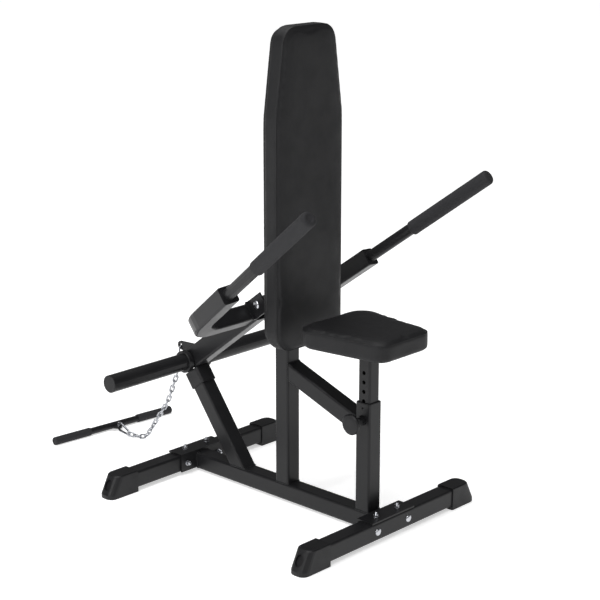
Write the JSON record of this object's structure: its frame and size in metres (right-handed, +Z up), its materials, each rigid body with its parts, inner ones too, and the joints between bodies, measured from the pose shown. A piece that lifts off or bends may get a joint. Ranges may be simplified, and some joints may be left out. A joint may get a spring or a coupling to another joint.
{
  "type": "plate-loaded seated dip and row lever machine",
  "caption": "Seated plate-loaded lever press machine: padded seat and tall backrest on a tube frame, with a U-shaped handle lever, a weight horn, and a chain with a short row bar.",
  "frame": {"origin": "on the floor, at the middle of the footprint measured without the chain and carabiner", "axes": "+Z up, the seated user faces -Y, +X is the user's left"},
  "size_m": [0.7498, 1.2811, 1.356],
  "materials": {
    "frame_paint": "satin powder coat",
    "plastic": "matte",
    "leatherette": "satin grain",
    "grip": "matte foam",
    "zinc": "bright zinc",
    "wood": "black-stained plywood"
  },
  "bodies": {
    "frame": {"base_beam": "frame_paint", "front_crossbar": "frame_paint", "rear_crossbar": "frame_paint", "front_bracket": "frame_paint", "rear_bracket": "frame_paint", "upright_post": "frame_paint", "seat_receiver": "frame_paint", "diagonal_brace": "frame_paint", "rear_strut": "frame_paint", "pivot_arm": "frame_paint", "backrest_plate_lower": "frame_paint", "backrest_plate_upper": "frame_paint", "pin_barrel": "frame_paint", "end_cap_front_left": "plastic", "end_cap_front_right": "plastic", "end_cap_rear_left": "plastic", "end_cap_rear_right": "plastic", "strut_cap": "plastic", "upright_plug": "plastic", "seat_bushing": "plastic", "backrest_pad": "leatherette", "bolt_front_top_left": "zinc", "bolt_front_top_right": "zinc", "bolt_front_side_left": "zinc", "bolt_front_side_right": "zinc", "bolt_rear_top_left": "zinc", "bolt_rear_top_right": "zinc", "bolt_rear_side_left": "zinc", "bolt_rear_side_right": "zinc", "backrest_screw_lower_left": "zinc", "backrest_screw_lower_right": "zinc", "backrest_screw_upper_left": "zinc", "backrest_screw_upper_right": "zinc", "backrest_board": "wood"},
    "lever": {"lever_arm": "frame_paint", "yoke_limb_left": "frame_paint", "yoke_limb_right": "frame_paint", "pivot_clevis": "frame_paint", "pivot_bolt": "zinc", "handle_tube_left": "frame_paint", "handle_tube_right": "frame_paint", "handle_grip_left": "grip", "handle_grip_right": "grip", "weight_horn": "frame_paint", "horn_plug_left": "plastic", "horn_plug_right": "plastic", "chain_lug": "frame_paint"},
    "seat": {"seat_post": "frame_paint", "seat_plate": "frame_paint", "seat_board": "wood", "seat_pad": "leatherette"},
    "pin": {"pull_pin": "plastic"},
    "chain_top": {"chain_upper": "zinc", "chain_top_link": "zinc"},
    "chain_end": {"chain_lower": "zinc", "carabiner": "zinc", "row_bar": "frame_paint", "row_grip_left": "grip", "row_grip_right": "grip"}
  },
  "joints": [
    {"name": "lever_pivot", "type": "hinge", "parent": "frame", "child": "lever", "pos_m": [0, -0.1146, 0.5665], "axis": [1, 0, 0], "range_deg": [0, 40]},
    {"name": "seat_height", "type": "slide", "parent": "frame", "child": "seat", "axis": [0, 0, 1], "range_m": [-0.132, 0.0528]},
    {"name": "pull_pin_slide", "type": "slide", "parent": "frame", "child": "pin", "axis": [-1, 0, 0], "range_m": [0, 0.012], "stiffness_N_per_m": 600},
    {"name": "chain_swing", "type": "hinge", "parent": "lever", "child": "chain_top", "pos_m": [0, 0.2309, 0.3677], "axis": [1, 0, 0], "range_deg": [-32, 0]},
    {"name": "chain_bend", "type": "hinge", "parent": "chain_top", "child": "chain_end", "pos_m": [0.037, 0.4232, 0.0416], "axis": [1, 0, 0], "range_deg": [-80, 0]}
  ],
  "couplings": [
    {"joint": "chain_swing", "follows": "lever_pivot", "ratio": -0.8},
    {"joint": "chain_bend", "follows": "lever_pivot", "ratio": -2}
  ]
}
